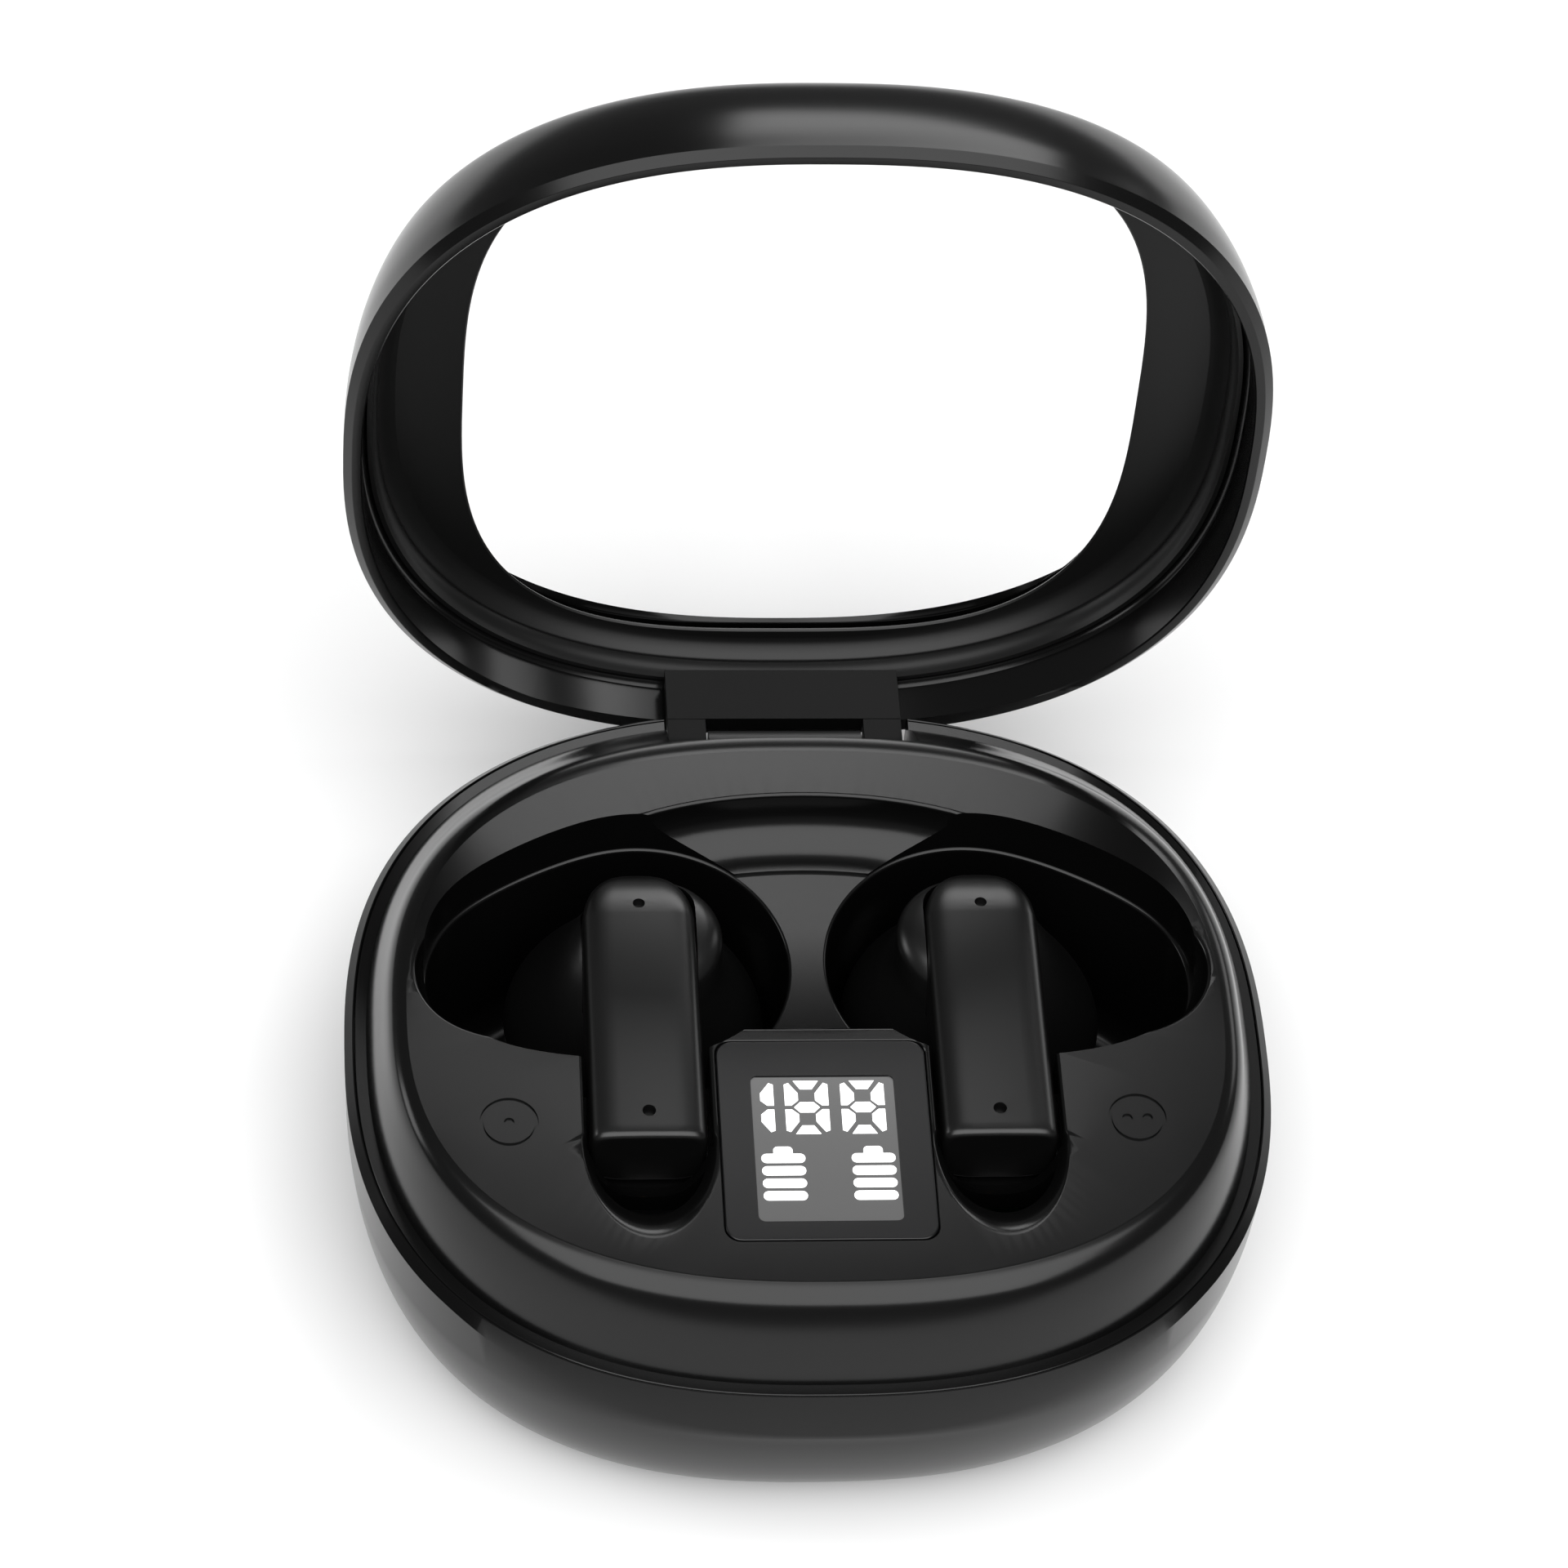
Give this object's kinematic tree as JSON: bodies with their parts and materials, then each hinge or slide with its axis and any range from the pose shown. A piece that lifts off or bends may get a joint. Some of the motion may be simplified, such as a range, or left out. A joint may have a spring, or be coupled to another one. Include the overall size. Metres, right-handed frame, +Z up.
{
  "type": "wireless earbuds case",
  "caption": "Rounded charging case with a flip-up ring lid, two stem earbuds seated in open pockets, a small battery display and a side charging port.",
  "frame": {"origin": "middle of the flat underside of the base, at table level", "axes": "+Z up, -Y towards the thumb crescent at the front, +Y towards the hinge, +X towards the charging port side; the lid is modelled open"},
  "size_m": [0.065, 0.0717, 0.0719],
  "materials": {
    "gloss_shell": "polished black ABS",
    "gloss_inner": "polished black ABS",
    "gloss_cover": "polished black ABS",
    "satin_inner": "satin black ABS",
    "display_window": "polished smoked acrylic",
    "lcd": "lit liquid-crystal display behind polished glass",
    "polyimide": "satin polyimide ribbon",
    "circuit_board": "solder mask on glass-epoxy",
    "battery_foil": "satin foil wrap",
    "foam_tape": "soft foam tape",
    "port_steel": "satin stainless steel with a black tongue",
    "gold": "bright gold plating",
    "magnet_nickel": "nickel plating",
    "chip_epoxy": "satin moulded epoxy",
    "screw_steel": "bright steel",
    "bracket_steel": "black coated steel",
    "silicone": "soft silicone",
    "mesh_steel": "woven steel mesh",
    "driver_brass": "satin stamped metal can"
  },
  "bodies": {
    "base": {"base_shell": "gloss_shell", "tray": "gloss_inner", "display_panel": "display_window", "display_module": "lcd", "display_flex": "polyimide", "main_board": "circuit_board", "case_battery": "battery_foil", "battery_pad": "foam_tape", "usb_port": "port_steel", "pin_block_left": "satin_inner", "pin_block_right": "satin_inner", "tray_magnets": "magnet_nickel", "base_closing_magnet": "magnet_nickel", "lid_sensor": "chip_epoxy", "board_screws": "screw_steel", "hinge_bracket": "bracket_steel", "hinge_screws": "screw_steel", "hinge_pin": "screw_steel"},
    "lid": {"lid_shell": "gloss_shell", "lid_liner": "satin_inner", "hinge_block": "gloss_shell", "lid_closing_magnet": "magnet_nickel"},
    "earbud_left": {"bud_shell_left": "gloss_shell", "stem_cover_left": "gloss_cover", "ear_tip_left": "silicone", "nozzle_mesh_left": "mesh_steel", "driver_left": "driver_brass", "bud_battery_left": "battery_foil", "bud_board_left": "circuit_board", "mic_meshes_left": "mesh_steel", "charge_pads_left": "gold", "bud_magnet_left": "magnet_nickel"},
    "earbud_right": {"bud_shell_right": "gloss_shell", "stem_cover_right": "gloss_cover", "ear_tip_right": "silicone", "nozzle_mesh_right": "mesh_steel", "driver_right": "driver_brass", "bud_battery_right": "battery_foil", "bud_board_right": "circuit_board", "mic_meshes_right": "mesh_steel", "charge_pads_right": "gold", "bud_magnet_right": "magnet_nickel"},
    "contact_pin_left_rear": {"contact_pin_left_rear": "gold"},
    "contact_pin_left_front": {"contact_pin_left_front": "gold"},
    "contact_pin_right_rear": {"contact_pin_right_rear": "gold"},
    "contact_pin_right_front": {"contact_pin_right_front": "gold"}
  },
  "joints": [
    {"name": "lid_hinge", "type": "hinge", "parent": "base", "child": "lid", "pos_m": [0, 0.02805, 0.014], "axis": [-1, 0, 0], "range_deg": [-92, 0]},
    {"name": "earbud_left_lift", "type": "slide", "parent": "base", "child": "earbud_left", "axis": [0, 0, 1], "range_m": [0, 0.03]},
    {"name": "earbud_right_lift", "type": "slide", "parent": "base", "child": "earbud_right", "axis": [0, 0, 1], "range_m": [0, 0.03]},
    {"name": "contact_pin_left_rear_travel", "type": "slide", "parent": "base", "child": "contact_pin_left_rear", "axis": [0, 0, 1], "range_m": [-0.0005, 0], "stiffness_N_per_m": 150, "springref_m": 0.001},
    {"name": "contact_pin_left_front_travel", "type": "slide", "parent": "base", "child": "contact_pin_left_front", "axis": [0, 0, 1], "range_m": [-0.0005, 0], "stiffness_N_per_m": 150, "springref_m": 0.001},
    {"name": "contact_pin_right_rear_travel", "type": "slide", "parent": "base", "child": "contact_pin_right_rear", "axis": [0, 0, 1], "range_m": [-0.0005, 0], "stiffness_N_per_m": 150, "springref_m": 0.001},
    {"name": "contact_pin_right_front_travel", "type": "slide", "parent": "base", "child": "contact_pin_right_front", "axis": [0, 0, 1], "range_m": [-0.0005, 0], "stiffness_N_per_m": 150, "springref_m": 0.001}
  ]
}
